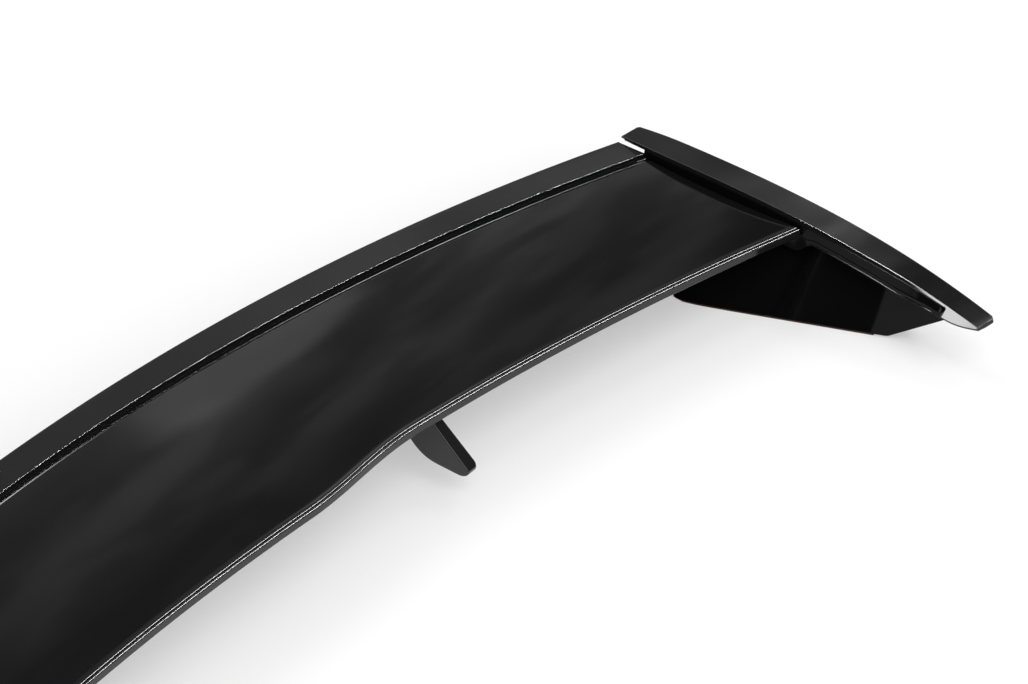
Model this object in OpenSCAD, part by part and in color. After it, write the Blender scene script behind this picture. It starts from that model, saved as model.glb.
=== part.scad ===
// Rear wing for a hatchback tailgate: a swept hollow blade between two end plates,
// carried by flared end supports and two small stands.
// Millimetres. X runs across the car, +Y to the rear, +Z up. The wing stands on its feet at Z = 0.

/* [Blade] */
// Half of the blade's span, centre to the end of its shells
half_span = 551.5; // [500:0.5:600]
// Depth of the blade outboard of the step
chord = 160; // [150:1:175]
// How far the middle of the leading edge stands forward of the rest
step_reach = 11; // [4:0.5:18]
// Where the step starts, from the centre
step_start = 120; // [80:5:150]
// Where the step ends, from the centre
step_end = 226; // [200:2:240]
// How far the ends of the trailing edge lie forward of its centre
te_sweep = 82; // [76:1:88]
// How far the ends of the leading edge lie forward of its centre
le_sweep = 73; // [68:1:78]
// Height of the lip's top at the centre
te_height = 81.5; // [79:0.5:84]
// How far the trailing edge falls to its ends
te_crown = 19.5; // [17:0.5:22]
// Height of the leading edge's lower line at the centre
le_height = 63.5; // [61:0.5:66]
// How far the leading edge falls to its ends
le_crown = 10; // [8:0.5:12]
// Hollow of the upper surface at mid depth
dish = 3; // [0:0.5:4]
// Fullness of the underside below a straight line
belly = 12; // [9:0.5:14]
// Wall of the moulded shells
wall = 3; // [2.4:0.1:3.2]

/* [Nose of the blade] */
// Depth of the sloping front face
nose_l = 6.8; // [5:0.2:9]
// Height of the sloping front face
nose_h = 5; // [4:0.2:6]
// Rounding where the top turns into the front face
nose_round = 1.6; // [0.8:0.1:2.2]
// Rounding under the nose
nose_under = 1.2; // [0.8:0.1:2]
// Distance of the seam from the top edge, down the front face
seam_at = 2.6; // [2.2:0.1:4]

/* [Trailing lip] */
// Width of the lip's top
lip_w = 22.5; // [16:0.5:26]
// Height of the lip above the blade
lip_h = 5; // [4:0.5:9]
// How much shorter the lip is at its front corners than at its rear
lip_rake = 5.7; // [0:0.1:10]
// How far the small ledges beside the lip's ends lie below its top
ledge_drop = 2.8; // [2:0.1:3.4]
// Width of the groove in front of the lip
groove_w = 1.8; // [1.2:0.1:3]
// Depth of the groove in front of the lip
groove_d = 1.2; // [0.6:0.1:1.6]

/* [End plates] */
// Gap between the blade's ends and the end plates
end_gap = 1.5; // [1.2:0.1:4]
// How far forward of the blade's centre the end plates start
plate_rear = 80.5; // [76:0.5:84]
// Length of the end plates
plate_l = 293; // [285:1:300]
// Width of the end plates' top at its widest
plate_w = 22.8; // [20:0.2:27]
// How much the top narrows towards the tip
plate_bow = 4.4; // [2:0.2:6]
// Height of the end plates' top above the blade's trailing edge
plate_above = 1.4; // [0.6:0.2:4]
// Rise of the top line
plate_rise = 8; // [6:0.5:10]
// Fall of the top line to the tip
plate_fall = 29.2; // [26:0.2:32]
// Thickness of the top of the end plates
plate_t = 5; // [4:0.2:6]
// Height of the bevel along the inner top edge
plate_bevel = 2.3; // [1.8:0.1:2.4]
// How much further outboard that edge lies in front than beside the blade
plate_in = 1.6; // [0.5:0.1:2.2]
// Depth of the end plates' side in front of the blade
side_h = 12; // [11:0.5:14]
// Depth of the end plates' side where it closes the blade
side_deep = 27; // [25:0.5:29]
// Thickness of the solid nose of the end plates
tip_h = 8; // [7.4:0.2:9]
// Thickness left at the very tip
tip_end = 2.6; // [2.4:0.1:3.4]
// Rounding of the tip's outer corner
tip_round = 4; // [2:0.5:6]
// How far the tip's lower edge lies in front of its upper one
tip_lean = 1.5; // [0:0.1:2]

/* [End supports] */
// Where the foot starts, forward of the blade's centre
foot_front = 304; // [298:1:310]
// How far outboard of the inner wall the foot's front corner lies
foot_front_out = 1.5; // [0:0.1:4]
// How far inboard the foot reaches at its inner corner
foot_reach = 58.5; // [40:0.5:65]
// Where the foot's inner corner lies, forward of the blade's centre
foot_corner = 168; // [160:1:180]
// Where the foot ends, forward of the blade's centre
foot_rear = 106; // [104:1:114]
// Length of the raked front of the support
rake_l = 43; // [38:1:46]
// Height of the raked front of the support
rake_h = 30.5; // [26:0.5:32]
// Thickness of the adhesive foam under the feet
tape_t = 1.5; // [1:0.1:3]
// Width of the adhesive foam
tape_w = 9; // [6:0.5:10]

/* [Stands] */
// Distance from the centre to the inner side of each stand
stand_x = 251; // [235:1:300]
// Thickness of a stand under the blade
stand_t = 9.5; // [9:0.1:13]
// How much thicker a stand is at its tip
stand_flare = 2; // [0:0.1:3]
// Length of a stand, front to rear
stand_l = 62; // [58:1:66]
// Height of a stand's foot above the floor of the end supports
stand_foot = 17; // [12:0.5:22]
// Where the front tip of a stand lies, forward of the blade's centre
stand_tip = 193; // [190:0.5:198]

/* [Fasteners] */
// Bore of the threaded inserts in the feet, tapped M6
insert_bore = 5; // [4:0.1:6]
// Outer diameter of the inserts
insert_d = 9; // [8:0.1:10]
// Length of the inserts
insert_l = 12; // [8:0.5:14]
// Shank diameter of the screws that hold the end plates
end_screw_d = 4.8; // [4:0.1:5]
// Length of the screws that hold the end plates
end_screw_l = 14; // [10:0.5:15]
// Shank diameter of the screws that hold the stands
stand_screw_d = 3.8; // [3:0.1:4]
// Length of the screws that hold the stands
stand_screw_l = 12; // [8:0.5:14]

/* [Fits] */
// Glue line between bonded mouldings
bond = 0.3; // [0.2:0.05:0.4]
// Clearance of a screw or an insert in its hole
fit = 0.1; // [0.05:0.05:0.2]

/* [Hidden] */

black = "#1b1b1d";
foam = "#3a3535";
steel = "#b9bcc0";
$fn = 48;

// The rows of points along the span and along an end plate
span_steps = 58;
top_steps = 7;
belly_steps = 9;
plate_steps = 28;
cover_steps = 26;
stand_steps = 16;

// The origin lies under the middle of the whole wing
wall_x = half_span + end_gap;
foot_front_x = wall_x + foot_front_out;
plate_rear_z = te_height - te_crown + plate_above;
plate_shear = 0.14;
tip_edge = 0.4;
tip_y = plate_rear + plate_l + tip_lean + plate_shear * (plate_w - plate_bow - tip_round - tip_edge);
origin_y = tip_y / 2;

// Smooth step from 0 to 1
function ease(t) = t <= 0 ? 0 : t >= 1 ? 1 : t * t * (3 - 2 * t);
function clamp(t) = min(1, max(0, t));
// The larger of two values, with a soft corner of size r
function soft_max(a, b, r) = (a + b + sqrt((a - b) * (a - b) + r * r)) / 2;
function mix(a, b, t) = a + (b - a) * t;
function curve(a, k, b, t) = (1 - t) * (1 - t) * a + 2 * t * (1 - t) * k + t * t * b;

// Plan and height of the blade's edges at a distance x from the centre
function out2(x) = pow(x / half_span, 2);
function te_y(x) = -te_sweep * out2(x);
function te_z(x) = te_height - te_crown * out2(x);
function le_y(x) = -chord - le_sweep * out2(x)
    - step_reach * (1 - ease((abs(x) - step_start) / (step_end - step_start)));
function le_z(x) = le_height - le_crown * out2(x);
function depth(x) = te_y(x) - le_y(x);

// Upper and lower surface at a distance c forward of the trailing edge
function top_z(x, c) =
    let (t = c / (depth(x) - nose_l), rear = te_z(x) - lip_h, front = le_z(x) + nose_h)
    mix(rear, front, t) - dish * 4 * t * (1 - t);
function under_z(x, c) =
    let (t = c / depth(x), rear = te_z(x) - lip_h - 2 * wall - bond, front = le_z(x) - nose_under)
    mix(rear, front, t) - belly * sin(180 * pow(clamp(t), 1.45));
function under_at(x, y) = under_z(x, te_y(x) - y);

// Front face of the nose: its direction down and forward, and the way into the wall
face_l = norm([nose_l, nose_h]);
face_dir = [nose_l, -nose_h] / face_l;
face_in = [-nose_h, -nose_l] / face_l;
// Bonding land at the trailing edge
land = 9;
// Small edge of the groove
groove_edge = 0.3;
lip_toe = 0.5;

// A closed skin through rings of points. Each ring runs along one side and back along the other.
module skin(rings) {
    n = len(rings[0]);
    m = len(rings);
    half = n / 2;
    sides = [for (i = [0 : m - 2], j = [0 : n - 1])
        let (a = i * n + j, b = i * n + (j + 1) % n, c = a + n, d = b + n)
        each [[a, d, b], [a, c, d]]];
    first = [for (j = [0 : half - 2]) each [[j, n - 2 - j, n - 1 - j], [j, j + 1, n - 2 - j]]];
    last = [for (f = first) [f[2], f[1], f[0]] + [1, 1, 1] * (m - 1) * n];
    polyhedron(points = [for (r = rings, p = r) p], faces = concat(sides, first, last), convexity = 10);
}

function reversed(list) = [for (i = [len(list) - 1 : -1 : 0]) list[i]];
function placed(x, section) = [for (p = section) [x, te_y(x) - p[0], p[1]]];
function stations(a, b, n) = [for (i = [0 : n]) mix(a, b, i / n)];

// The blade's shells, as sections of [distance forward of the trailing edge, height]
function nose_edge(x) = let (c = depth(x) - nose_l) [c, top_z(x, c)];
function seam(x) = nose_edge(x) + face_dir * seam_at;

function upper_outside(x) =
    let (g0 = lip_w + lip_toe + groove_edge, g1 = g0 + groove_w, edge = nose_edge(x),
        flat = edge[0] - nose_round, tangent = [flat, top_z(x, flat)])
    concat(
        [[0, top_z(x, 0)], [g0 - groove_edge, top_z(x, g0)],
         [g0, top_z(x, g0) - groove_d], [g1, top_z(x, g1) - groove_d],
         [g1 + groove_edge, top_z(x, g1)]],
        [for (i = [1 : top_steps]) let (c = mix(g1, flat, i / top_steps)) [c, top_z(x, c)]],
        [for (t = [1 / 3, 2 / 3, 1]) curve(tangent, edge, edge + face_dir * nose_round, t)],
        [seam(x)]);
function upper_inside(x) =
    let (outside = upper_outside(x), n = len(outside), last = seam(x) + face_in * wall,
        flat = outside[n - 5])
    concat(
        [for (i = [0 : n - 5]) [outside[i][0], top_z(x, outside[i][0]) - wall]],
        [for (t = [0.25, 0.5, 0.75, 1]) mix([flat[0], flat[1] - wall], last, t)]);

function lower_outside(x) =
    let (d = depth(x), back = d - 4, start = [back, under_z(x, back)], front = [d, le_z(x)])
    concat(
        [for (c = stations(0, back, belly_steps)) [c, under_z(x, c)]],
        [for (t = [1 / 3, 2 / 3, 1]) curve(start, [d, le_z(x) - nose_under], front, t)],
        [seam(x) + face_dir * bond]);
function lower_inside(x) =
    let (outside = lower_outside(x), n = len(outside), last = seam(x) + face_dir * bond + face_in * wall,
        rows = [for (i = [0 : n - 5]) let (c = outside[i][0])
            [c, min(under_z(x, c) + wall, top_z(x, c) - wall - bond)]])
    concat(rows, [for (t = [0.25, 0.5, 0.75, 1]) mix(rows[n - 5], last, t)]);

module shell_of(over, under) {
    skin([for (i = [0 : span_steps]) concat(over[i], under[i])]);
}

module upper_shell() {
    xs = stations(-half_span, half_span, span_steps);
    color(black)
        shell_of([for (x = xs) placed(x, upper_outside(x))],
            [for (x = xs) reversed(placed(x, upper_inside(x)))]);
}

module lower_shell() {
    xs = stations(-half_span, half_span, span_steps);
    color(black)
        difference() {
            shell_of([for (x = xs) placed(x, lower_inside(x))],
                [for (x = xs) reversed(placed(x, lower_outside(x)))]);
            at_stand_screws() {
                translate([0, 0, -wall - stand_screw_d])
                    cylinder(d = stand_screw_d + 2 * fit, h = 3 * wall + stand_screw_d);
                cylinder(d = screw_head * stand_screw_d + 2 * fit, h = 2 * wall);
            }
        }
}

// The lip lies on the rear of the upper shell. Its ends are cut back towards the front.
lip_end = half_span - 1;
// A small ledge fills the corner between each of its ends and the shell's end.
ledge_l = 19;
function lip_point(x, c, z) =
    let (at = x * (1 - lip_rake * c / lip_w / lip_end)) [at, te_y(at) - c, z == 0 ? te_z(at)
        : z < 0 ? te_z(at) + z : top_z(at, c) + z];
function lip_ring(x, edge) = concat(
    [lip_point(x, 0, -edge), lip_point(x, edge, 0),
     lip_point(x, lip_w / 2, 0), lip_point(x, lip_w - edge, 0), lip_point(x, lip_w, -edge)],
    [lip_point(x, lip_w + lip_toe, bond), lip_point(x, lip_w * 0.75, bond),
     lip_point(x, lip_w / 2, bond), lip_point(x, lip_w * 0.25, bond), lip_point(x, 0, bond)]);
function ledge_ring(side, t) =
    [for (p = [[0, 0], [0.25, 0], [0.5, 0], [0.75, 0], [1, 0], [1, 1], [0.75, 1], [0.5, 1], [0.25, 1], [0, 1]])
        let (c = ledge_l * p[0], start = lip_end - lip_rake * c / lip_w + 0.15,
            at = side * mix(start, half_span, t))
        [at, te_y(at) - c, p[1] == 0 ? te_z(half_span) - ledge_drop : top_z(at, c) + bond]];
module trailing_lip() {
    color(black)
        skin(concat([ledge_ring(-1, 1), ledge_ring(-1, 0)],
            [for (x = stations(-lip_end, lip_end, span_steps)) lip_ring(x, 1)],
            [ledge_ring(1, 0), ledge_ring(1, 1)]));
}

// A rib closes each end of the hollow blade and takes the end plate's screws
rib_t = 12;
rib_seat = wall_x - bond;
rib_screw_at = [84, 112];
function rib_mid(c) = (top_z(half_span, c) + under_z(half_span, c)) / 2;
module end_rib() {
    c0 = land + 21;
    module body() {
        skin([for (x = [rib_seat - rib_t, rib_seat])
            let (c1 = depth(x) - nose_l - 8, cs = stations(c0, c1, 8)) concat(
            [for (c = cs) [x, te_y(x) - c, top_z(x, c) - wall - 2 * bond]],
            reversed([for (c = cs) [x, te_y(x) - c,
                min(under_z(x, c) + wall + bond, top_z(x, c) - wall - 4 * bond)]]))]);
    }
    color(black)
        difference() {
            body();
            at_end_screws()
                translate([-rib_t - 1, 0, 0])
                    rotate([0, 90, 0]) cylinder(d = end_screw_d + 2 * fit, h = rib_t + 2);
        }
}

// Places of the screws through the right end plate's side
module at_end_screws() {
    for (c = rib_screw_at)
        translate([rib_seat, te_y(half_span) - c, rib_mid(c)]) children();
}

// End plate: u runs from 0 at the rear to 1 at the tip
foot_front_u = (foot_front - plate_rear) / plate_l;
nose_u = (foot_front + rake_l + 4.5 - plate_rear) / plate_l;
slot_u = 0.065;
function plate_y(u) = -plate_rear - plate_l * u;
function plate_u(y) = (-y - plate_rear) / plate_l;
function plate_z(u) = plate_rear_z + plate_rise * u - plate_fall * pow(u, 3);
function corner(d, r) = d >= r ? 0 : r - sqrt(r * r - (r - d) * (r - d));
function front_of(u) = ease((u - nose_u + 0.012) / 0.012);
function tip_of(u) = clamp((u - nose_u) / (1 - nose_u));
function fore(u) = ease((u - 0.62) / 0.3);
rear_round = 1.5;
rear_narrow = 2;
function plate_out(u) = wall_x + plate_w - plate_bow * pow((u - 0.4) / 0.6, 2)
    - rear_narrow * pow(clamp(1 - u / 0.12), 2)
    - corner((1 - u) * plate_l, tip_round) - corner(u * plate_l, rear_round);
function plate_low(u) = mix(plate_t, mix(tip_h, tip_end, pow(tip_of(u), 1.6)), front_of(u));

// Bevel along the inner top edge: where its foot lies, its height and its width
function edge_x(u) = wall_x + plate_in * fore(u) + 1.5 * pow(clamp(1 - u / 0.2), 2)
    + 0.85 * pow(tip_of(u), 1.5);
function edge_h(u) = (plate_bevel - 0.7 * fore(u)) * (1 - 0.65 * pow(clamp(1 - u / 0.2), 2))
    - 0.8 * tip_of(u);
function edge_w(u) = min(1.45, 0.9 * edge_h(u));

// Section of the plate's top. In front it has no cover, and its side slopes down and inwards.
side_t = 3;
module plate_top() {
    rim = 0.9;
    function section(u) =
        let (z = plate_z(u), low = plate_low(u), out = plate_out(u), front = front_of(u),
            x = edge_x(u), h = edge_h(u), k = 1 - 0.92 * pow(tip_of(u), 2),
            step = mix([x + side_t + bond, z - h - 0.1], [x - 4 * k, z - h - 5.3 * k], front))
        [[x, z - h], [x + edge_w(u), z], [mix(wall_x, out, 0.5), z], [out - 1.2, z], [out, z - 1.2],
         [out - tip_edge, z - low], [out - 3, z - low], [mix(wall_x + side_t, out, 0.4), z - low],
         [step[0], mix(z - plate_t, step[1] - rim, front)], step];
    tips = [for (d = [tip_round, tip_round * 0.6, tip_round * 0.3, 0.3]) 1 - d / plate_l];
    marks = concat(tips, [for (d = [0.3, 0.8, rear_round]) d / plate_l],
        [nose_u - 0.012, nose_u - 0.008, nose_u - 0.004, nose_u]);
    us = sorted(concat(stations(0, 1, plate_steps), marks));
    skin([for (u = reversed(us)) let (ring = section(u), lean = clamp(1 - (1 - u) * plate_l / tip_round))
        [for (j = [0 : 9])
            [ring[j][0], plate_y(u) - plate_shear * (ring[j][0] - wall_x)
                - (j >= 5 ? tip_lean * lean : 0), ring[j][1]]]]);
}

// Rising order, for short lists
function sorted(list) = len(list) <= 1 ? list :
    let (pivot = list[floor(len(list) / 2)],
        less = [for (v = list) if (v < pivot - 0.0005) v],
        more = [for (v = list) if (v > pivot + 0.0005) v])
    concat(sorted(less), [pivot], sorted(more));

// Outline of the foot: its inner edge at a place y, and the height of its underside
rake = rake_h / rake_l;
rake_in = 9 / rake_l;
foot_turn = 10;
function foot_in(y) = y < -foot_front
    ? foot_front_x + rake_in * (-foot_front - y)
    : soft_max(
        foot_front_x - foot_reach * (y + foot_front) / (foot_front - foot_corner),
        foot_front_x - foot_reach
            + (wall_x + 8 - foot_front_x + foot_reach) * (y + foot_corner) / (foot_corner - foot_rear),
        foot_turn * clamp((y + foot_front) / 40));
function foot_z(y) = tape_t + rake * max(0, -foot_front - y);
function web_x(y) = plate_out(plate_u(y)) - 2;
// The side strip grows a double ledge in front of the blade
function strip_of(u) = ease((u - 0.5) / 0.06);
function side_low(y) = let (u = plate_u(y)) plate_z(u)
    - mix(side_deep, side_h - 3.4 * ease((u - 0.77) / 0.14), strip_of(u));
function panel_x(y) = web_x(y) - 2 * side_t - bond;
function cover_lean(y) = (panel_x(y) - foot_in(y)) / (side_low(y) + side_t - foot_z(y));
support_front = -foot_front - rake_l;
support_marks = [-foot_front, -foot_corner];
function support_rows(front, rear) =
    sorted(concat(stations(front, rear, cover_steps), support_marks));

// Outer wall and foot of the support, one moulding with the plate's top
module support_web() {
    foot_t = 3;
    skin([for (y = support_rows(support_front, -foot_rear + 2))
        let (x = web_x(y), z = foot_z(y), top = plate_z(plate_u(y)) - plate_t + 1,
            inner = foot_in(y) + side_t + bond, flush = x - side_t - 0.5,
            lean = cover_lean(y) * foot_t + 2 * bond)
        [for (p = [[x, top], [x, z], [min(inner, flush), z], [min(inner + lean, flush), z + foot_t],
            [x - side_t, z + foot_t], [x - side_t, top]]) [p[0], y, p[1]]]]);
}

boss_d = 16;
boss_h = 13;
insert_at = [[wall_x + 11, -foot_front + 24], [wall_x - 10.5, -foot_corner + 7]];
module at_inserts() {
    for (p = insert_at)
        translate([p[0], p[1], tape_t]) children();
}

module end_plate() {
    color(black)
        difference() {
            union() {
                plate_top();
                support_web();
                at_inserts() translate([0, 0, 0.5]) cylinder(d = boss_d, h = boss_h);
            }
            at_inserts() translate([0, 0, -1]) cylinder(d = insert_d + 2 * fit, h = insert_l + 1);
        }
}

// The front end of the cover's side strip is rounded
cover_round = 4;

// Cover of the support: the side strip under the plate's bevel and the panel that flares to the foot
module end_cover() {
    function section(y) =
        let (u = plate_u(y), low = side_low(y), foot_x = foot_in(y), z = foot_z(y), f = strip_of(u),
            s = f * (1 - ease((u - 0.895) / 0.015)), x = edge_x(u),
            top = plate_z(u) - edge_h(u) - bond
                - cover_round * pow(clamp((-y - foot_front - rake_l) / cover_round + 1), 2),
            up = mix(top - 3, low + 3, f), back = wall_x + side_t, deep = mix(0.01, 0.8, f))
        [[x, top], [wall_x - 1.05 * f + 0.35 * s, up], [wall_x - 1.15 * f, up - 0.3],
         [wall_x - 1.35 * f + 0.1 * s, mix(low + 1.2, low + 0.3, f)],
         [mix(wall_x + 0.8, wall_x - 1.4 - 0.5 * s, f), low],
         [mix(wall_x + 1.2, wall_x - 1.4 - 0.5 * s, f), low - deep], [panel_x(y), low - deep], [foot_x, z],
         [foot_x + side_t, z], [panel_x(y) + side_t, low + side_t], [back, low + side_t],
         for (t = [0.15, 0.3, 0.45, 0.7, 1]) [mix(back, x + side_t, clamp((t - 0.45) / 0.55)),
             mix(low + side_t, top, t)]];
    rear = plate_y(slot_u + 0.01) - 1;
    color(black)
        difference() {
            skin([for (y = concat(
                    support_rows(support_front, -foot_rear), [rear]))
                [for (p = reversed(section(min(y, -foot_rear)))) [p[0], y, p[1]]]]);
            at_end_screws()
                rotate([0, 90, 0]) translate([0, 0, -1])
                    cylinder(d = end_screw_d + 4 * fit, h = side_t + 3);
        }
}

// Strips of adhesive foam under the foot, along the cover and along the outer wall
module foot_tape() {
    ys = stations(-foot_front + 9, -foot_rear - 8, 24);
    inset = 0.8;
    module strip(a) {
        polygon(concat([for (y = ys) [a == 0 ? foot_in(y) + inset : web_x(y) - inset, y]],
            reversed([for (y = ys) [a == 0 ? foot_in(y) + inset + tape_w
                : web_x(y) - inset - tape_w, y]])));
    }
    color(foam)
        difference() {
            linear_extrude(tape_t)
                intersection() {
                    union() {
                        strip(0);
                        strip(1);
                    }
                    polygon(concat([for (y = ys) [web_x(y) - inset, y]],
                        reversed([for (y = ys) [foot_in(y) + inset, y]])));
                }
            at_inserts() translate([0, 0, -2 * tape_t]) cylinder(d = insert_d + 2, h = 3 * tape_t);
        }
}

// A stand: a short fin with its front edge leaning forward to a rounded tip
stand_lean = 0.875;
stand_tip_h = 5.5;
function stand_low(y) = let (tip = -stand_tip, arc = tip + 33)
    stand_foot + stand_tip_h * pow(clamp((tip + 8 - y) / 8), 2) + 0.04 * pow(max(0, y - arc), 2);
function stand_edge(y) = stand_foot + stand_tip_h + 2 + stand_lean * (y + stand_tip);
stand_screw_y = [-stand_tip + 0.66 * stand_l, -stand_tip + 0.82 * stand_l];
module stand() {
    edge = 0.9;
    color(black)
        difference() {
            skin([for (y = sorted(concat(stations(-stand_tip, -stand_tip + stand_l, stand_steps),
                    [-stand_tip + 2])))
                let (x0 = stand_x, x1 = stand_x + stand_t + stand_flare * clamp((-y - stand_tip + stand_l) / stand_l),
                    low = min(stand_low(y), under_at(x1, y) - bond - 3),
                    h0 = min(stand_edge(y), under_at(x0, y) - bond),
                    h1 = min(stand_edge(y), under_at(x1, y) - bond))
                [for (p = [[x0 + edge, low], [x0, low + edge], [x0, h0 - edge], [x0 + edge, h0],
                    [x1 - edge, h1], [x1, h1 - edge], [x1, low + edge], [x1 - edge, low]])
                    [p[0], y, p[1]]]]);
            right_stand_screws()
                translate([0, 0, -stand_screw_l - 1])
                    cylinder(d = stand_screw_d + 2 * fit, h = stand_screw_l + 2);
        }
}

// Seats of the stand screws' heads, on the inside of the lower shell
module right_stand_screws() {
    x = stand_x + stand_t / 2 + 0.5;
    for (y = stand_screw_y)
        translate([x, y, under_at(x, y) + wall]) children();
}
module at_stand_screws() {
    right_stand_screws() children();
    mirror([1, 0, 0]) right_stand_screws() children();
}

screw_head = 1.9;
module screw(d, l) {
    translate([0, 0, fit]) cylinder(d = screw_head * d, h = 0.55 * d);
    translate([0, 0, -l]) cylinder(d = d, h = l + 2 * fit);
}

module thread_inserts() {
    module right_pair() {
        at_inserts()
            difference() {
                cylinder(d = insert_d, h = insert_l - fit);
                translate([0, 0, -1]) cylinder(d = insert_bore, h = insert_l + 2);
            }
    }
    color(steel) {
        right_pair();
        mirror([1, 0, 0]) right_pair();
    }
}

module end_screws() {
    module right_pair() {
        at_end_screws()
            translate([side_t + bond, 0, 0]) rotate([0, 90, 0]) screw(end_screw_d, end_screw_l);
    }
    color(steel) {
        right_pair();
        mirror([1, 0, 0]) right_pair();
    }
}

module stand_screws() {
    color(steel) at_stand_screws() screw(stand_screw_d, stand_screw_l);
}

module left_side() {
    mirror([1, 0, 0]) children();
}

translate([0, origin_y, 0]) {
    upper_shell();
    lower_shell();
    trailing_lip();
    end_rib();  // end_rib_right
    left_side() end_rib();  // end_rib_left
    end_plate();  // end_plate_right
    left_side() end_plate();  // end_plate_left
    end_cover();  // end_cover_right
    left_side() end_cover();  // end_cover_left
    stand();  // stand_right
    left_side() stand();  // stand_left
    foot_tape();  // foot_tape_right
    left_side() foot_tape();  // foot_tape_left
    thread_inserts();
    end_screws();
    stand_screws();
}
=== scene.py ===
"""Looks of the gloss black rear wing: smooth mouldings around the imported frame, materials, light and camera.

Sizes and places on the wing are in millimetres, with y at 0 where the trailing edge crosses the middle
of the car. What Blender places by itself, such as lamps, is in metres."""

import math

import bmesh
import bpy
from mathutils import Matrix, Vector


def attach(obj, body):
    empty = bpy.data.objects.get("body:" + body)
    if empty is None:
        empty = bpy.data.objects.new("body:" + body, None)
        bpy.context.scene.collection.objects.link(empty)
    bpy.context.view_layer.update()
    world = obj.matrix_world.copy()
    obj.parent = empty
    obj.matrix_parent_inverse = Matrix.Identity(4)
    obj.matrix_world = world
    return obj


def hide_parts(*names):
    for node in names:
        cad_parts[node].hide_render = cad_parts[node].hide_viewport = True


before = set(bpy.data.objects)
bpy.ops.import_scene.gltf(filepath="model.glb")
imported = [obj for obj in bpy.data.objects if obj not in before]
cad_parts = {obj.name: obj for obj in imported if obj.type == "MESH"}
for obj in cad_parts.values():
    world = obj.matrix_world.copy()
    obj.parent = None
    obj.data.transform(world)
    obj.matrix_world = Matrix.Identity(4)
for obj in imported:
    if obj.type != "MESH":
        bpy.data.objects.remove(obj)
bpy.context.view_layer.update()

MM = 0.001

# Sizes of the wing, as in the part's source or refined from it. In a name, L is a length along the car,
# W a width, H a height, D a depth and T a thickness. IN and OUT are towards the car's middle and away
# from it. U is a share of the end plate's length, from its rear. A change starts at its FROM and takes
# its OVER, both such shares.

# The blade: its plan, its two edges from the side, its curved faces and its wall
HALF_SPAN, CHORD = 551.5, 160
STEP_REACH, STEP_START, STEP_END = 11, 120, 226
TE_SWEEP, LE_SWEEP = 82, 73
TE_HEIGHT, TE_CROWN = 81.5, 19.5
LE_HEIGHT, LE_CROWN = 63.5, 10
DISH, BELLY, BELLY_LATE, WALL = 3, 12, 1.45, 3

# The nose: a shallow shoulder, the seam between the shells in it, and an upright front
NOSE_L, NOSE_H, NOSE_ROUND, NOSE_UNDER = 6.2, 5.5, 1.2, 1.2
NOSE_FRONT, SEAM_AT, SEAM_GAP, SEAM_ROUND = 4.9, 2.4, 0.5, 1.2
CHIN_L, CHIN_ROUND, NOSE_WALL_L, FLAT_WALL = 3.5, 0.8, 9, 2
REAR_EDGE = 0.4

# The trailing lip, the groove in front of it and the small ledge at each of its ends
LIP_W, LIP_H, LIP_STEP, LIP_RAKE = 22.5, 5, 2.4, 6.2
LIP_REAR_H, LIP_REAR_ROUND, LIP_FRONT_ROUND = 1.6, 0.9, 0.2
LEDGE_DROP, LEDGE_FALL, LEDGE_L, LEDGE_OUT, LEDGE_LAP = 0.5, 0.8, 20.5, 0.9, 1
GROOVE_W, GROOVE_D, GROOVE_EDGE, GROOVE_ROUND, LIP_TOE = 1.8, 1.2, 0.3, 0.15, 0.5

# The end plates: the top strip and its bevelled inner edge
WALL_X, PLATE_REAR, PLATE_L = 553, 80.5, 293
PLATE_W, PLATE_BOW, BOW_FROM = 22.8, 3.6, 0.4
PLATE_REAR_Z, PLATE_RISE, PLATE_FALL = 63.4, 8, 29.2
PLATE_T, PLATE_SHEAR, PLATE_IN = 5, 0.14, 1.6
REAR_ROUND, REAR_NARROW, REAR_NARROW_U = 1.5, 2.3, 0.12
SLOT_U, SLOT_TURN_U, SLOT_TURN = 0.058, 0.01, 1
EDGE_REAR_IN, EDGE_REAR_U, EDGE_TIP_IN = 1.5, 0.2, 0.85
PLATE_BEVEL, BEVEL_FORE, BEVEL_REAR, BEVEL_TIP, BEVEL_LAP = 2.3, 0.7, 0.65, 0.8, 0.1
BEVEL_W, BEVEL_RATIO, BEVEL_FOOT_ROUND, BEVEL_TOP_ROUND = 1.45, 0.9, 0.35, 0.5
OUTER_TOP_ROUND, OUTER_LOW_ROUND = 1.6, 0.6
FORE_FROM, FORE_OVER = 0.62, 0.3

# The tip of the end plate, with the wedge under its inner edge
TIP_H, TIP_END, TIP_ROUND, TIP_LEAN, TIP_EDGE = 8, 2.6, 3, 1.2, 0.4
TIP_GAP, TIP_TURN_U, TIP_TAPER, TIP_IN_TAPER = 2, 0.006, 1.6, 1.5
WEDGE_IN, WEDGE_DOWN, WEDGE_RIM, WEDGE_FADE = 4.4, 4.8, 0.9, 0.92

# The cover of the end support: the strip under the bevel, its two ledges and the panel
SIDE_H, SIDE_DEEP, SIDE_T, SIDE_RISE, COVER_ROUND = 12, 27, 3, 3.4, 4
RISE_FROM, RISE_OVER = 0.77, 0.14
STRIP_FROM, STRIP_OVER = 0.5, 0.06
RIM_H, RIM_STEP, RIM_IN, STRIP_IN, STRIP_LOW_IN = 3, 0.3, 1.05, 1.15, 1.35
RIM_CUT, STRIP_CUT, SILL_IN, SILL_OUT, SILL_T, SILL_RISE = 0.35, 0.1, 1.4, 0.5, 0.8, 0.3
HIDDEN_IN, HIDDEN_RISE, HIDDEN_LOW_IN, HIDDEN_T = 0.8, 1.2, 1.2, 0.01
SILL_FADE_FROM, SILL_FADE_OVER = 0.882, 0.012
RIM_ROUND, RIM_STEP_ROUND, PANEL_TOP_ROUND, PANEL_FOOT_ROUND = 0.4, 0.15, 1.0, 0.6

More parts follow.
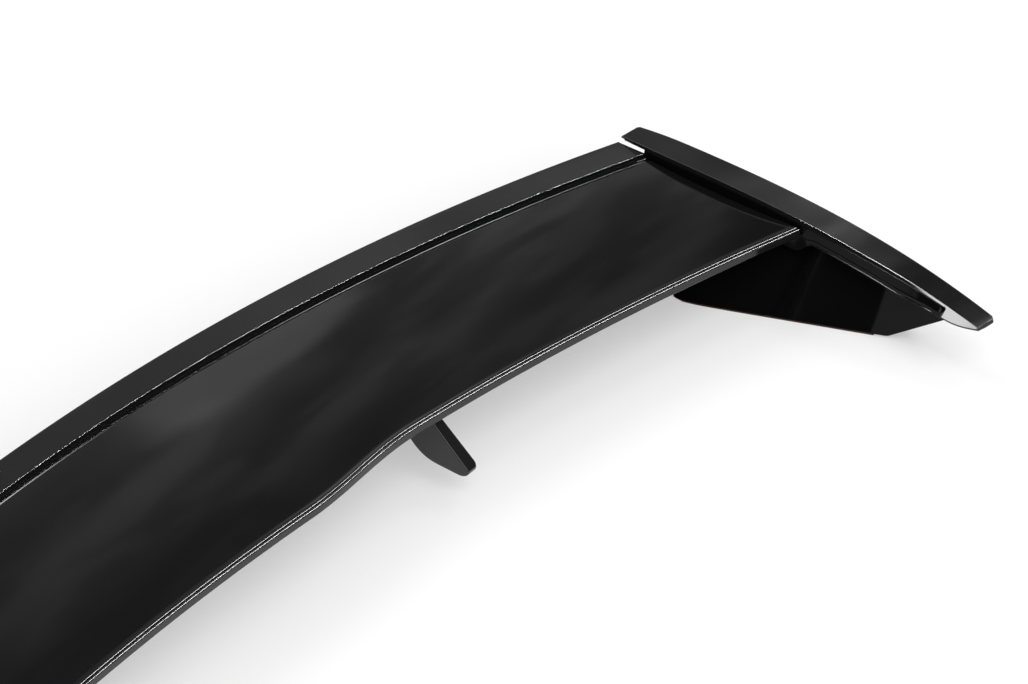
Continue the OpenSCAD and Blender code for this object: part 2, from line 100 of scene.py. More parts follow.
# The foot, seen from above a triangle with its front raked up, and the tape under it
FOOT_FRONT, FOOT_FRONT_X, FOOT_REACH, FOOT_T = 304, 554.5, 58.5, 3
FOOT_CORNER, FOOT_REAR, FOOT_TURN, FOOT_TURN_L = 168, 106, 10, 40
FOOT_REAR_X, WEB_IN, WEB_FLUSH, WEB_UP, WEB_ROUND, WEB_PAST = 561, 2, 0.5, 1, 0.8, 2
RAKE_L, RAKE_H, RAKE_IN, TAPE_T = 43, 30.5, 9, 1.5

# The stands under the blade
STAND_X, STAND_T, STAND_FLARE, STAND_FOOT, STAND_TIP = 251, 7.2, 2.8, 17, 193
STAND_BACK, STAND_LEAN, STAND_TIP_H, STAND_TIP_L, STAND_ROUND = 62, 0.875, 7.3, 9, 3
SWEEP_FROM, SWEEP_RATE, SWEEP_POWER = 24, 0.00262, 2.6
TOE_FLAT, STAND_END_H, STAND_IN_ROUND, STAND_TOP_ROUND, STAND_OUT_ROUND = 0.4, 3, 1.4, 1.0, 1.6

# What all pieces share: the glue between them, a broken edge and the frame's origin
BOND, EDGE = 0.3, 0.3
ORIGIN_Y = 188.48

# How many steps the lofts and their sections are made of
SPAN_ROWS, PLATE_ROWS, STAND_ROWS = 220, 120, 80
TOP_STEPS, INNER_STEPS, UNDER_STEPS, LINING_STEPS = 16, 12, 20, 14
LIP_STEPS, LEDGE_STEPS, LEDGE_ROWS, TURN_STEPS = 3, 4, 6, 12


# Shape functions


def clamp(t):
    return min(1.0, max(0.0, t))


def ease(t):
    t = clamp(t)
    return t * t * (3 - 2 * t)


def mix(a, b, t):
    return a + (b - a) * t


def soft_max(a, b, r):
    return (a + b + math.hypot(a - b, r)) / 2


def even(a, b, n):
    return [mix(a, b, i / n) for i in range(n + 1)]


def corner(d, r):
    """How far an edge has turned in at the distance d from the end that its rounding r reaches."""
    return 0 if d >= r else r - math.sqrt(max(0, r * r - (r - d) ** 2))


def rounded(points, radii, steps=4):
    """The section with the corners named in radii turned into arcs of that reach, which take less than
    half of a side."""
    most = 0.45
    out = []
    count = len(points)
    for i, point in enumerate(points):
        here = Vector(point)
        reach = radii.get(i, 0)
        if not reach:
            out.append(here)
            continue
        before = Vector(points[i - 1]) - here
        after = Vector(points[(i + 1) % count]) - here
        a = here + before.normalized() * min(reach, before.length * most)
        b = here + after.normalized() * min(reach, after.length * most)
        for k in range(steps + 1):
            t = k / steps
            out.append(a * (1 - t) ** 2 + here * 2 * t * (1 - t) + b * t * t)
    return out


# The blade: x runs across the car, c forwards from the trailing edge


def out2(x):
    """0 in the middle of the car and 1 at the blade's end."""
    return (x / HALF_SPAN) ** 2


def te_y(x):
    return -TE_SWEEP * out2(x)


def te_z(x):
    return TE_HEIGHT - TE_CROWN * out2(x)


def le_y(x):
    step = 1 - ease((abs(x) - STEP_START) / (STEP_END - STEP_START))
    return -CHORD - LE_SWEEP * out2(x) - STEP_REACH * step


def le_z(x):
    return LE_HEIGHT - LE_CROWN * out2(x)


def depth(x):
    return te_y(x) - le_y(x)


def blade_z(x, c, drop):
    """A dished surface that starts the drop below the trailing edge."""
    t = c / (depth(x) - NOSE_L)
    return mix(te_z(x) - drop, le_z(x) + NOSE_H, t) - DISH * 4 * t * (1 - t)


def top_z(x, c):
    return blade_z(x, c, LIP_STEP)


def inner_z(x, c):
    return blade_z(x, c, LIP_H) - WALL


def under_z(x, c):
    t = c / depth(x)
    rear = te_z(x) - LIP_H - 2 * WALL - BOND
    front = le_z(x) - NOSE_UNDER
    return mix(rear, front, t) - BELLY * math.sin(math.pi * clamp(t) ** BELLY_LATE)


def under_at(x, y):
    return under_z(x, te_y(x) - y)


def shoulder(x, back):
    """The shallow slope from the blade's top to the upright front of the nose."""
    return (depth(x) - back, le_z(x) + mix(NOSE_FRONT, NOSE_H, back / NOSE_L))


def upper_section(x):
    """The upper shell cut along the car: under the lip, the groove, the top and back underneath."""
    g0 = LIP_W + LIP_TOE + GROOVE_EDGE
    g1 = g0 + GROOVE_W
    edge, end = shoulder(x, NOSE_L), shoulder(x, SEAM_AT)
    flat = edge[0] - NOSE_ROUND * 2
    top = [(c, top_z(x, c)) for c in even(g1 + GROOVE_EDGE, flat, TOP_STEPS)]
    points = [(0, top_z(x, 0)), (g0 - GROOVE_EDGE, top_z(x, g0)), (g0, top_z(x, g0) - GROOVE_D),
              (g1, top_z(x, g1) - GROOVE_D)]
    groove = len(points)
    points += top
    nose = len(points)
    points += [edge, end, (end[0], end[1] - WALL)]
    points += [(c, inner_z(x, c)) for c in even(flat - FLAT_WALL, 0, INNER_STEPS)]
    radii = {0: REAR_EDGE, 1: REAR_EDGE, groove: GROOVE_ROUND,
             nose: NOSE_ROUND, nose + 1: SEAM_ROUND, nose + 2: EDGE}
    return rounded(points, radii, 6)


def lower_section(x):
    """The lower shell cut along the car: the belly, the upright front and back inside."""
    d = depth(x)
    start = shoulder(x, SEAM_AT - SEAM_GAP)
    points = [(c, under_z(x, c)) for c in even(0, d - CHIN_L, UNDER_STEPS)]
    nose = len(points)
    points += [(d, le_z(x) - NOSE_UNDER), shoulder(x, 0), start, (start[0], start[1] - WALL)]
    points += [(c, min(under_z(x, c) + WALL, inner_z(x, c) - BOND))
               for c in even(d - NOSE_WALL_L, 0, LINING_STEPS)]
    return rounded(points, {nose: CHIN_ROUND, nose + 1: NOSE_ROUND, nose + 2: EDGE}, 6)


LIP_END = HALF_SPAN - 1


def lip_ring(x):
    """The lip's section, with its place across the car drawn in towards the front to rake its ends."""
    section = [(0, te_z(x) - LIP_REAR_H), (0, te_z(x))]
    section += [(c, te_z(x * (1 - LIP_RAKE * c / LIP_W / LIP_END)))
                for c in even(LIP_W / 4, LIP_W, LIP_STEPS)]
    front = len(section) - 1
    section += [(LIP_W + LIP_TOE, top_z(x, LIP_W + LIP_TOE) + BOND)]
    section += [(c, top_z(x, c) + BOND) for c in even(LIP_W * 0.75, 0, LIP_STEPS)]
    heel = len(section) - 1
    ring = []
    for c, z in rounded(section, {1: LIP_REAR_ROUND, front: LIP_FRONT_ROUND, heel: REAR_EDGE}, 5):
        at = x * (1 - LIP_RAKE * c / LIP_W / LIP_END)
        ring.append((at, te_y(at) - c, z))
    return ring


def ledge_ring(t):
    """The small ledge that falls from the lip's raked end towards the end plate."""
    ring = []
    upper = [(c, te_z(HALF_SPAN) - LEDGE_DROP - LEDGE_FALL * t) for c in even(0, LEDGE_L, LEDGE_STEPS)]
    under = [(c, top_z(HALF_SPAN, c) - BOND) for c in even(LEDGE_L, 0, LEDGE_STEPS)]
    for c, z in rounded(upper + under, {0: EDGE, LEDGE_STEPS: EDGE}, 4):
        at = mix(LIP_END - LIP_RAKE * c / LIP_W - LEDGE_LAP, HALF_SPAN + LEDGE_OUT * clamp(c / LEDGE_L), t)
        ring.append((at, te_y(at) - c, z))
    return ring


# End plates: u runs from 0 at the rear to 1 at the tip

NOSE_U = (FOOT_FRONT + RAKE_L + TIP_GAP - PLATE_REAR) / PLATE_L


def plate_y(u):
    return -PLATE_REAR - PLATE_L * u


def plate_u(y):
    return (-y - PLATE_REAR) / PLATE_L


def plate_z(u):
    return PLATE_REAR_Z + PLATE_RISE * u - PLATE_FALL * max(0, u) ** 3


def front_of(u):
    """0 above the support, 1 in the free tip."""
    return ease((u - NOSE_U + TIP_TURN_U) / TIP_TURN_U)


def tip_of(u):
    """How far along the free tip u is."""
    return clamp((u - NOSE_U) / (1 - NOSE_U))


def fore(u):
    """0 beside the blade, 1 in front of it."""
    return ease((u - FORE_FROM) / FORE_OVER)


def rear_edge(u):
    """1 at the rear end, falling to 0 at EDGE_REAR_U."""
    return clamp(1 - u / EDGE_REAR_U) ** 2


def plate_out(u):
    bow = PLATE_BOW * ((u - BOW_FROM) / (1 - BOW_FROM)) ** 2
    narrow = REAR_NARROW * clamp(1 - u / REAR_NARROW_U) ** 2
    return (WALL_X + PLATE_W - bow - narrow
            - corner((1 - u) * PLATE_L, TIP_ROUND) - corner(u * PLATE_L, REAR_ROUND))


def plate_low(u):
    return mix(PLATE_T, mix(TIP_H, TIP_END, tip_of(u) ** TIP_TAPER), front_of(u))


def edge_x(u):
    return (WALL_X + PLATE_IN * fore(u) + EDGE_REAR_IN * rear_edge(u)
            + EDGE_TIP_IN * tip_of(u) ** TIP_IN_TAPER)


def edge_h(u):
    return (PLATE_BEVEL - BEVEL_FORE * fore(u)) * (1 - BEVEL_REAR * rear_edge(u)) - BEVEL_TIP * tip_of(u)


def edge_w(u):
    return min(BEVEL_W, BEVEL_RATIO * edge_h(u))


def plate_section(u):
    """The top strip cut across: its bevelled edge, its top, its outside and, at the tip, the wedge."""
    z, low, out, front = plate_z(u), plate_low(u), plate_out(u), front_of(u)
    x, h, k = edge_x(u), edge_h(u), 1 - WEDGE_FADE * tip_of(u) ** 2
    step_x = mix(x + SIDE_T + BOND, x - WEDGE_IN * k, front)
    step_z = mix(z - h - BEVEL_LAP, z - h - WEDGE_DOWN * k, front)
    points = [(x, z - h), (x + edge_w(u), z), (mix(WALL_X, out, 0.5), z), (out, z),
              (out - TIP_EDGE, z - low), (mix(WALL_X + SIDE_T, out, 0.4), z - low),
              (step_x, mix(z - PLATE_T, step_z - WEDGE_RIM, front)), (step_x, step_z)]
    radii = {0: BEVEL_FOOT_ROUND, 1: BEVEL_TOP_ROUND, 3: OUTER_TOP_ROUND, 4: OUTER_LOW_ROUND,
             6: EDGE, 7: EDGE}
    return rounded(points, radii, 5)


def plate_ring(u):
    """The section set in place, with the lower edge of the tip in front of the upper one."""
    z, low, h, y = plate_z(u), plate_low(u), edge_h(u), plate_y(u)
    lean = TIP_LEAN * clamp(1 - (1 - u) * PLATE_L / TIP_ROUND)
    return [(px, y - PLATE_SHEAR * (px - WALL_X) - lean * clamp((z - h - pz) / (low - h)), pz)
            for px, pz in plate_section(u)]


# End supports: the foot's plan, the cover on its inner side and the web outside

RAKE = RAKE_H / RAKE_L
SUPPORT_FRONT = -FOOT_FRONT - RAKE_L


def foot_in(y):
    """The foot's inner edge, with the corner between its two straight stretches rounded."""
    if y < -FOOT_FRONT:
        return FOOT_FRONT_X + RAKE_IN / RAKE_L * (-FOOT_FRONT - y)
    ahead = FOOT_FRONT_X - FOOT_REACH * (y + FOOT_FRONT) / (FOOT_FRONT - FOOT_CORNER)
    behind = (FOOT_FRONT_X - FOOT_REACH
              + (FOOT_REAR_X - FOOT_FRONT_X + FOOT_REACH) * (y + FOOT_CORNER) / (FOOT_CORNER - FOOT_REAR))
    return soft_max(ahead, behind, FOOT_TURN * clamp((y + FOOT_FRONT) / FOOT_TURN_L))


def foot_z(y):
    return TAPE_T + RAKE * max(0, -FOOT_FRONT - y)


def web_x(y):
    return plate_out(plate_u(y)) - WEB_IN


def strip_of(u):
    """0 behind the blade's nose, where the cover's strip is deep, and 1 in front of it."""
    return ease((u - STRIP_FROM) / STRIP_OVER)


def side_low(y):
    u = plate_u(y)
    shallow = SIDE_H - SIDE_RISE * ease((u - RISE_FROM) / RISE_OVER)
    return plate_z(u) - mix(SIDE_DEEP, shallow, strip_of(u))


def panel_x(y):
    return web_x(y) - 2 * SIDE_T - BOND


def cover_lean(y):
    return (panel_x(y) - foot_in(y)) / (side_low(y) + SIDE_T - foot_z(y))


def cover_top(y):
    u = plate_u(y)
    turn = COVER_ROUND * clamp((-y - FOOT_FRONT - RAKE_L) / COVER_ROUND + 1) ** 2
    return plate_z(u) - edge_h(u) - BOND - turn


def cover_section(y):
    """The cover cut across: down the strip with its rim and sill, out below it to the panel, down and
    in to the foot, and up again inside."""
    u, low, foot_x, z, panel = plate_u(y), side_low(y), foot_in(y), foot_z(y), panel_x(y)
    strip = strip_of(u)
    ledges = strip * (1 - ease((u - SILL_FADE_FROM) / SILL_FADE_OVER))
    x, top = edge_x(u), cover_top(y)
    rim = mix(top - RIM_H, low + RIM_H, strip)
    sill_t = mix(HIDDEN_T, SILL_T, strip)
    sill_x = WALL_X - SILL_IN - SILL_OUT * ledges
    back = WALL_X + SIDE_T
    points = [(x, top),
              (WALL_X - RIM_IN * strip + RIM_CUT * ledges, rim),
              (WALL_X - STRIP_IN * strip, rim - RIM_STEP),
              (WALL_X - STRIP_LOW_IN * strip + STRIP_CUT * ledges, low + mix(HIDDEN_RISE, SILL_RISE, strip)),
              (mix(WALL_X + HIDDEN_IN, sill_x, strip), low),
              (mix(WALL_X + HIDDEN_LOW_IN, sill_x, strip), low - sill_t),
              (panel, low - sill_t), (foot_x, z), (foot_x + SIDE_T, z), (panel + SIDE_T, low + SIDE_T),
              (back, low + SIDE_T), (back, mix(low + SIDE_T, top, 0.45)), (x + SIDE_T, top)]
    radii = {0: BEVEL_FOOT_ROUND, 1: RIM_ROUND, 2: RIM_STEP_ROUND, 3: EDGE, 4: EDGE, 5: EDGE,
             6: PANEL_TOP_ROUND, 7: PANEL_FOOT_ROUND, 8: EDGE}
    return list(reversed(rounded(points, radii, 4)))


def web_section(y):
    """The end plate's outer wall with the foot that turns in from its lower edge."""
    x, z = web_x(y), foot_z(y)
    top = plate_z(plate_u(y)) - PLATE_T + WEB_UP
    inner = foot_in(y) + SIDE_T + BOND
    flush = x - SIDE_T - WEB_FLUSH
    lean = cover_lean(y) * FOOT_T + 2 * BOND
    points = [(x, top), (x, z), (min(inner, flush), z), (min(inner + lean, flush), z + FOOT_T),
              (x - SIDE_T, z + FOOT_T), (x - SIDE_T, top)]
    return rounded(points, {1: WEB_ROUND, 2: EDGE, 4: EDGE}, 5)


# Stands: d runs backwards from the front of the foot


def stand_low(d):
    nose = clamp(1 - d / STAND_TIP_L)
    toe = (STAND_TIP_H - TOE_FLAT) * (1 - math.sqrt(1 - nose ** 2))
    return STAND_FOOT + toe + SWEEP_RATE * max(0, d - SWEEP_FROM) ** SWEEP_POWER


def stand_section(y):
    """The stand cut across, up to the blade's underside."""
    d = y + STAND_TIP
    x0 = STAND_X + corner(d, STAND_ROUND / 2)
    x1 = STAND_X + STAND_T + STAND_FLARE * clamp(1 - d / STAND_BACK) - corner(d, STAND_ROUND)
    low = min(stand_low(d), under_at(x1, y) - BOND - STAND_END_H)
    edge = STAND_FOOT + STAND_TIP_H + STAND_LEAN * d
    h0 = min(edge, under_at(x0, y) - BOND)
    h1 = min(edge, under_at(x1, y) - BOND)
    radii = {0: STAND_IN_ROUND, 1: STAND_TOP_ROUND, 2: STAND_OUT_ROUND, 3: STAND_OUT_ROUND}
    return rounded([(x0, low), (x0, h0), (x1, h1), (x1, low)], radii, 5)


# Making the pieces


def loft(rings):
    """A closed tube through rings of points, bent from one grid, with its ends filled."""
    rows, cols = len(rings), len(rings[0])
    shape = bmesh.new()
    bmesh.ops.create_grid(shape, x_segments=rows - 1, y_segments=cols, size=1)
    for vert in shape.verts:
        row = round((vert.co.x + 1) / 2 * (rows - 1))
        col = round((vert.co.y + 1) / 2 * cols)
        x, y, z = rings[row][col % cols]
        vert.co = Vector((x, y + ORIGIN_Y, z)) * MM
    bmesh.ops.remove_doubles(shape, verts=shape.verts, dist=1e-7)
    bmesh.ops.holes_fill(shape, edges=[e for e in shape.edges if e.is_boundary], sides=0)
    bmesh.ops.recalc_face_normals(shape, faces=shape.faces)
    return shape


def loft_along_y(section, ys):
    """A loft through sections that each lie across the car at one y."""
    return loft([[(px, y, pz) for px, pz in section(y)] for y in ys])


def loft_blade(section):
    """A loft through sections that each lie along the car at one x."""
    xs = even(-HALF_SPAN, HALF_SPAN, SPAN_ROWS)
    return loft([[(x, te_y(x) - c, z) for c, z in section(x)] for x in xs])


def piece(name, shape, node, coat, edge=0.35, mirrored=False):
    """Turns a shape into an object that rides on the wing and stands for a solid of the frame."""
    if mirrored:
        bmesh.ops.scale(shape, vec=(-1, 1, 1), verts=shape.verts)
        bmesh.ops.reverse_faces(shape, faces=shape.faces)
    mesh = bpy.data.meshes.new(name)
    shape.to_mesh(mesh)
    shape.free()
    for face in mesh.polygons:
        face.use_smooth = True
    made = bpy.data.objects.new(name, mesh)
    bpy.context.scene.collection.objects.link(made)
    mesh.materials.append(coat)
    bevel = made.modifiers.new("edges", "BEVEL")
    bevel.width = edge * MM
    bevel.segments = 2
    bevel.limit_method = "ANGLE"
    bevel.angle_limit = math.radians(42)
    made.modifiers.new("normals", "WEIGHTED_NORMAL").weight = 60
    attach(made, "root")
    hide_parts(node)


# Materials


def new_group(name, inputs, outputs):
    group = bpy.data.node_groups.new(name, "ShaderNodeTree")
    for kind, label, value in inputs:
        socket = group.interface.new_socket(label, in_out="INPUT", socket_type=kind)
        socket.default_value = value
    for kind, label in outputs:
        group.interface.new_socket(label, in_out="OUTPUT", socket_type=kind)
    return group, group.nodes.new("NodeGroupInput"), group.nodes.new("NodeGroupOutput")


def add(tree, kind, sockets=None, **settings):
    """A node with its settings, and with values in the sockets that are named."""
    node = tree.nodes.new(kind)
    for key, value in settings.items():
        setattr(node, key, value)
    for key, value in (sockets or {}).items():
        node.inputs[key].default_value = value
    return node


def wire(tree, source, target):
    tree.links.new(source, target)


def ramp(tree, source, span, levels, kind="SMOOTHSTEP"):
    """Goes from the first level to the second while the source passes through the span."""
    node = add(tree, "ShaderNodeMapRange", interpolation_type=kind,
               sockets={"From Min": span[0], "From Max": span[1], "To Min": levels[0], "To Max": levels[1]})
    wire(tree, source, node.inputs["Value"])
    return node.outputs[0]


def combine(tree, operation, sources):
    total = sources[0]
    for source in sources[1:]:
        node = add(tree, "ShaderNodeMath", operation=operation)
        wire(tree, total, node.inputs[0])
        wire(tree, source, node.inputs[1])
        total = node.outputs[0]
    return total


DUST = (0.35, 0.34, 0.33, 1)


def moulded_group():
    """Fine unevenness of moulded gloss plastic: slow waves, polishing haze and settled dust."""
    group, start, end = new_group(
        "moulded gloss",
        [("NodeSocketColor", "Base", (0.01, 0.01, 0.011, 1)), ("NodeSocketFloat", "Roughness", 0.07),
         ("NodeSocketFloat", "Haze", 0.05), ("NodeSocketFloat", "Dust", 0.3)],
        [("NodeSocketColor", "Color"), ("NodeSocketFloat", "Roughness"), ("NodeSocketFloat", "Height")])
    place = add(group, "ShaderNodeTexCoord").outputs["Object"]
    waves = add(group, "ShaderNodeTexNoise", {"Scale": 14.0, "Detail": 2.0})
    haze = add(group, "ShaderNodeTexNoise", {"Scale": 22.0, "Detail": 5.0})
    specks = add(group, "ShaderNodeTexVoronoi", {"Scale": 420.0})
    patches = add(group, "ShaderNodeTexNoise", {"Scale": 60.0, "Detail": 3.0})
    for texture in (waves, haze, specks, patches):
        wire(group, place, texture.inputs["Vector"])
    hazy = ramp(group, haze.outputs["Fac"], (0.35, 0.75), (0, 1), "LINEAR")
    added = combine(group, "MULTIPLY", [hazy, start.outputs["Haze"]])
    wire(group, combine(group, "ADD", [added, start.outputs["Roughness"]]), end.inputs["Roughness"])
    near = ramp(group, specks.outputs["Distance"], (0.035, 0.06), (1, 0), "LINEAR")
    where = ramp(group, patches.outputs["Fac"], (0.6, 0.7), (0, 1), "LINEAR")
    dusty = combine(group, "MULTIPLY", [near, where, start.outputs["Dust"]])
    tint = add(group, "ShaderNodeMix", {"B": DUST}, data_type="RGBA")
    wire(group, dusty, tint.inputs["Factor"])
    wire(group, start.outputs["Base"], tint.inputs["A"])
    wire(group, tint.outputs["Result"], end.inputs["Color"])
    wire(group, waves.outputs["Fac"], end.inputs["Height"])
    return group


MOULDED = moulded_group()


def finish(name, base, roughness, haze=0.05, dust=0.3, bump=0.01, metallic=0.0, specular=0.5):
    """A material of the wing. The bump is the height of its waves in millimetres."""
    made = bpy.data.materials.new(name)
    made.use_nodes = True
    tree = made.node_tree
    shader = tree.nodes["Principled BSDF"]
    shader.inputs["Metallic"].default_value = metallic
    shader.inputs["Specular IOR Level"].default_value = specular
    moulded = add(tree, "ShaderNodeGroup", node_tree=MOULDED,
                  sockets={"Base": (*base, 1), "Roughness": roughness, "Haze": haze, "Dust": dust})
    lift = add(tree, "ShaderNodeBump", {"Strength": 1.0, "Distance": bump * MM})
    wire(tree, moulded.outputs["Color"], shader.inputs["Base Color"])
    wire(tree, moulded.outputs["Roughness"], shader.inputs["Roughness"])
    wire(tree, moulded.outputs["Height"], lift.inputs["Height"])
    wire(tree, lift.outputs["Normal"], shader.inputs["Normal"])
    return made


BLACK = (0.006, 0.006, 0.0065)

blade_black = finish("deep gloss black plastic", (0.005, 0.005, 0.0055), 0.04, haze=0.03, specular=0.2)
gloss_black = finish("gloss black plastic", BLACK, 0.05, specular=0.4)
satin_black = finish("satin black plastic", BLACK, 0.07, haze=0.04)
lip_black = finish("lip black plastic", BLACK, 0.07, haze=0.04, specular=0.95)
# The cover's black is darker and its sheen weaker than the other black plastics: painted shade, standing in
# for the dark reflections on the support's inner side.
cover_painted_shade_black = finish("cover black plastic darkened as painted shade", (0.003, 0.003, 0.0032), 0.07, dust=0.1, specular=0.12)
stand_black = finish("stand black plastic", BLACK, 0.1)
inner_black = finish("unfinished black plastic", (0.02, 0.02, 0.021), 0.45, haze=0.2, bump=0.1)
foam = finish("foam tape with dark red film", (0.05, 0.016, 0.016), 0.8, haze=0.1, dust=0, bump=0.4)
brass = finish("turned brass", (0.62, 0.45, 0.2), 0.3, haze=0.15, dust=0, metallic=1.0)
steel = finish("zinc-plated steel", (0.55, 0.56, 0.58), 0.3, haze=0.15, dust=0, metallic=1.0)

# The blade

SHARP = 0.1

piece("upper_shell_smooth", loft_blade(upper_section), "upper_shell", blade_black, edge=SHARP)
piece("lower_shell_smooth", loft_blade(lower_section), "lower_shell", gloss_black)
lip = loft([lip_ring(x) for x in even(-LIP_END, LIP_END, SPAN_ROWS)])
piece("trailing_lip_smooth", lip, "trailing_lip", lip_black, edge=SHARP)
for side in ("right", "left"):
    ledge = loft([ledge_ring(t) for t in even(0, 1, LEDGE_ROWS)])
    piece(f"lip_ledge_{side}", ledge, "trailing_lip", gloss_black, mirrored=side == "left")

# The two ends. Where a shape turns quickly, the sections lie closer: at these distances from its end

TIP_CUTS = (4, 3.4, 2.8, 2.2, 1.7, 1.2, 0.8, 0.5, 0.25, 0.1)
REAR_CUTS = (0.08, 0.2, 0.4, 0.7, 1.1, 1.5)
COVER_CUTS = (0, 0.15, 0.4, 0.8, 1.3, 1.9, 2.6)
STAND_CUTS = (0, 0.08, 0.3, 0.7, 1.2)

plate_us = even(0, 1, PLATE_ROWS)
plate_us += even(NOSE_U - TIP_TURN_U, NOSE_U, TURN_STEPS)
plate_us += [1 - d / PLATE_L for d in TIP_CUTS]
plate_us += [d / PLATE_L for d in REAR_CUTS]
plate_us = sorted(set(round(u, 5) for u in plate_us), reverse=True)
web_ys = even(SUPPORT_FRONT, -FOOT_REAR + WEB_PAST, PLATE_ROWS)
cover_ys = [SUPPORT_FRONT + d for d in COVER_CUTS]
cover_ys += even(cover_ys.pop(), -FOOT_REAR, PLATE_ROWS)
cover_rear = plate_y(SLOT_U + SLOT_TURN_U) - SLOT_TURN
stand_ys = [-STAND_TIP + d for d in STAND_CUTS]
stand_ys += even(stand_ys.pop(), -STAND_TIP + STAND_BACK, STAND_ROWS)


def cover_shape():
    """The cover, with its last section drawn out straight to the slot beside the blade."""
    rings = [[(px, y, pz) for px, pz in cover_section(y)] for y in cover_ys]
    rings.append([(px, cover_rear, pz) for px, pz in cover_section(-FOOT_REAR)])
    return loft(rings)


for side in ("right", "left"):
    flip = side == "left"
    top = loft([plate_ring(u) for u in plate_us])
    piece(f"end_plate_top_{side}", top, f"end_plate_{side}", satin_black, mirrored=flip)
    web = loft_along_y(web_section, web_ys)
    piece(f"end_plate_web_{side}", web, f"end_plate_{side}", gloss_black, mirrored=flip)
    piece(f"end_cover_smooth_{side}", cover_shape(), f"end_cover_{side}", cover_painted_shade_black, mirrored=flip)
    stand = loft_along_y(stand_section, stand_ys)
    piece(f"stand_smooth_{side}", stand, f"stand_{side}", stand_black, mirrored=flip)

carried = {"end_rib_right": inner_black, "end_rib_left": inner_black, "foot_tape_right": foam,
           "foot_tape_left": foam, "thread_inserts": brass, "end_screws": steel, "stand_screws": steel}
for node, coat in carried.items():
    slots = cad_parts[node].data.materials
    slots.clear()
    slots.append(coat)

# Floor and light

FLOOR_HALF = 30
FLOOR_COLOUR, FLOOR_WHITE = (0.95, 0.935, 0.94, 1), 0.36


def floor_finish():
    """A pale matt floor. A share of it is plain white for the camera, gloss and glass, so that its
    shadows stay light."""
    made = bpy.data.materials.new("pale floor")
    made.use_nodes = True
    tree = made.node_tree
    shader = tree.nodes["Principled BSDF"]
    shader.inputs["Base Color"].default_value = FLOOR_COLOUR
    shader.inputs["Roughness"].default_value = 0.9
    shader.inputs["Specular IOR Level"].default_value = 0.0
    white = add(tree, "ShaderNodeEmission", {"Color": (1, 1, 1, 1), "Strength": 1.0})
    rays = add(tree, "ShaderNodeLightPath")
    kinds = ("Is Camera Ray", "Is Glossy Ray", "Is Transmission Ray")
    seen = combine(tree, "ADD", [rays.outputs[kind] for kind in kinds])
    both = add(tree, "ShaderNodeMixShader")
    wire(tree, ramp(tree, seen, (0, 1), (0, FLOOR_WHITE), "LINEAR"), both.inputs[0])
    wire(tree, shader.outputs[0], both.inputs[1])
    wire(tree, white.outputs[0], both.inputs[2])
    wire(tree, both.outputs[0], tree.nodes["Material Output"].inputs["Surface"])
    return made


def floor():
    shape = bmesh.new()
    bmesh.ops.create_grid(shape, x_segments=1, y_segments=1, size=FLOOR_HALF)
    mesh = bpy.data.meshes.new("floor")
    shape.to_mesh(mesh)
    shape.free()
    made = bpy.data.objects.new("floor", mesh)
    bpy.context.scene.collection.objects.link(made)
    mesh.materials.append(floor_finish())


floor()

# Lights that only gloss sees: direction, radius of the even part, radius of the soft edge, strength
GLOSS_LIGHTS = [
    ((0.602, 0.39, 0.695), 0.025, 0.042, 1.3),
    ((0.58, 0.3, 0.76), 0.04, 0.085, 0.5),
    ((0.55, -0.18, 0.815), 0.04, 0.13, 120.0),
    ((0.65, -0.15, 0.75), 0.02, 0.05, 200.0),
    ((0.0, 0.33, 0.94), 0.04, 0.07, 150.0),
    ((-0.3, 0.22, 0.93), 0.05, 0.12, 120.0),
    ((-0.72, 0.15, 0.67), 0.08, 0.14, 16.0),
]
EVEN_LIGHT = 0.55


def cloudy_panel(tree, toward, x, y, z):
    """A panel to the right rear, bounded by direction, with two layers of cloud in it."""
    haze = add(tree, "ShaderNodeTexNoise", {"Scale": 18.0, "Detail": 4.0})
    clouds = add(tree, "ShaderNodeTexNoise", {"Scale": 26.0, "Detail": 4.0, "Distortion": 0.8})
    for texture in (haze, clouds):
        wire(tree, toward, texture.inputs["Vector"])
    return combine(tree, "MULTIPLY", [
        ramp(tree, haze.outputs["Fac"], (0.4, 0.62), (0.6, 1.1)),
        ramp(tree, clouds.outputs["Fac"], (0.48, 0.52), (0.7, 1.15)),
        ramp(tree, x, (0.4, 0.52), (0, 1)),
        ramp(tree, y, (0.22, 0.38), (0.2, 1)),
        ramp(tree, y, (0.4, 0.52), (1, 0.35)),
        ramp(tree, z, (0.46, 0.53), (0.35, 1))])


def gloss_light(tree, toward, centre, even_to, ends_at, strength):
    away = add(tree, "ShaderNodeVectorMath", operation="DISTANCE")
    wire(tree, toward, away.inputs[0])
    away.inputs[1].default_value = centre
    return ramp(tree, away.outputs["Value"], (even_to, ends_at), (strength, 0))


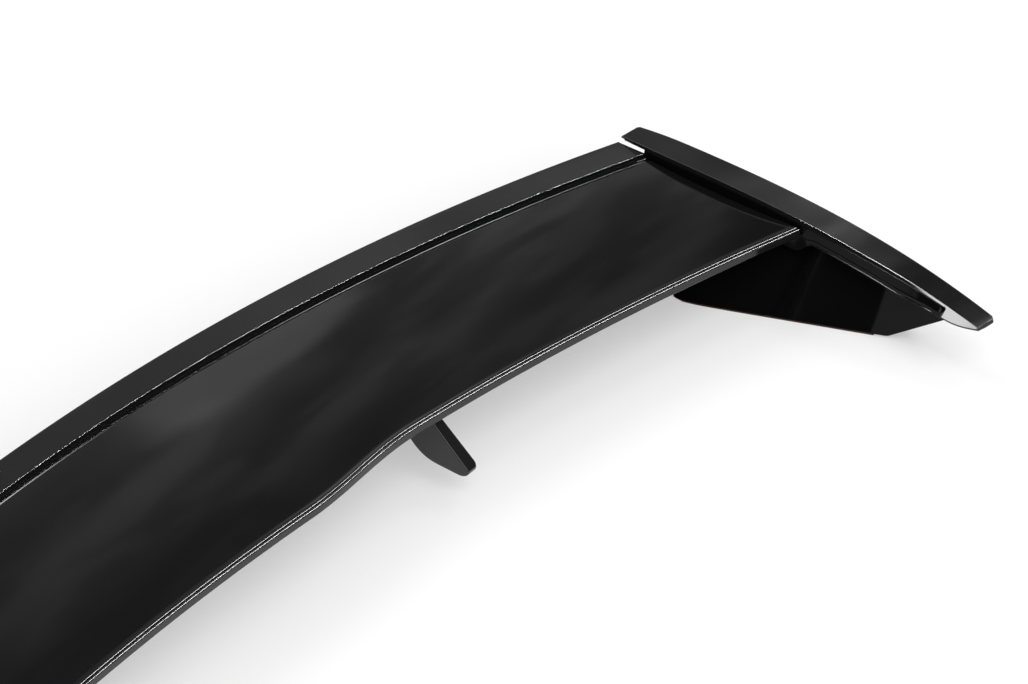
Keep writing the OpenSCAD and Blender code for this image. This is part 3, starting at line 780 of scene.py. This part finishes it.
def studio():
    """White for the camera, even light for the floor. Gloss sees a cloudy panel to the right rear,
    a white horizon on the right and small lights, and a dark hall elsewhere."""
    world = bpy.data.worlds.new("studio")
    bpy.context.scene.world = world
    world.use_nodes = True
    tree = world.node_tree
    backdrop = tree.nodes["Background"]
    backdrop.inputs["Color"].default_value = (1, 1, 1, 1)
    toward = add(tree, "ShaderNodeTexCoord").outputs["Generated"]
    parts = add(tree, "ShaderNodeSeparateXYZ")
    wire(tree, toward, parts.inputs[0])
    x, y, z = parts.outputs
    horizon = combine(tree, "MULTIPLY", [
        ramp(tree, z, (0.1, 0.3), (1, 0)),
        ramp(tree, x, (-0.4, 0.1), (0, 1))])
    glows = [cloudy_panel(tree, toward, x, y, z), horizon]
    glows += [gloss_light(tree, toward, *light) for light in GLOSS_LIGHTS]
    rays = add(tree, "ShaderNodeLightPath")
    shiny = combine(tree, "ADD", [rays.outputs["Is Glossy Ray"], rays.outputs["Is Transmission Ray"]])
    lit = add(tree, "ShaderNodeMix", {"A": EVEN_LIGHT}, data_type="FLOAT")
    wire(tree, shiny, lit.inputs["Factor"])
    wire(tree, combine(tree, "ADD", glows), lit.inputs["B"])
    seen = add(tree, "ShaderNodeMix", {"B": 1.0}, data_type="FLOAT")
    wire(tree, rays.outputs["Is Camera Ray"], seen.inputs["Factor"])
    wire(tree, lit.outputs["Result"], seen.inputs["A"])
    wire(tree, seen.outputs["Result"], backdrop.inputs["Strength"])


studio()

LAMP_DISTANCE, LAMP_AIM = 2.5, Vector((0.45, -0.05, 0.05))


def softbox(name, toward, size, power):
    """A square lamp in the given direction from the wing's right end, facing it."""
    data = bpy.data.lights.new(name, "AREA")
    data.shape = "RECTANGLE"
    data.size, data.size_y = size, size
    data.energy = power
    lamp = bpy.data.objects.new(name, data)
    direction = Vector(toward).normalized()
    lamp.location = LAMP_AIM + direction * LAMP_DISTANCE
    lamp.rotation_euler = direction.to_track_quat("Z", "Y").to_euler()
    bpy.context.scene.collection.objects.link(lamp)


softbox("right softbox", (0.554, -0.105, 0.824), 0.5, 5)
softbox("rear softbox", (0.0, 0.6, 0.8), 1.2, 12)
softbox("front softbox", (-0.25, -0.62, 0.74), 2.2, 46)

# Camera, fitted to the photo. Its focal length is in pixels of the photo's width

AZIMUTH, ELEVATION, DISTANCE = math.radians(-51.5), math.radians(38.3), 3.9159
FOCAL_PX, PHOTO_WIDTH_PX, SENSOR = 6000, 1028, 36
AIM = (366.7, -138.1, 31.4)

camera_data = bpy.data.cameras.new("camera")
camera = bpy.data.objects.new("camera", camera_data)
bpy.context.scene.collection.objects.link(camera)
bpy.context.scene.camera = camera
back = Vector((math.sin(AZIMUTH) * math.cos(ELEVATION), -math.cos(AZIMUTH) * math.cos(ELEVATION),
               math.sin(ELEVATION)))
right = Vector((math.cos(AZIMUTH), math.sin(AZIMUTH), 0))
up = back.cross(right)
place = Vector((AIM[0], AIM[1] + ORIGIN_Y, AIM[2])) * MM + back * DISTANCE
camera.matrix_world = Matrix((
    (right.x, up.x, back.x, place.x),
    (right.y, up.y, back.y, place.y),
    (right.z, up.z, back.z, place.z),
    (0, 0, 0, 1)))
camera_data.sensor_fit = "HORIZONTAL"
camera_data.sensor_width = SENSOR
camera_data.lens = SENSOR * FOCAL_PX / PHOTO_WIDTH_PX
camera_data.clip_end = 100

bpy.context.scene.view_settings.view_transform = "Standard"
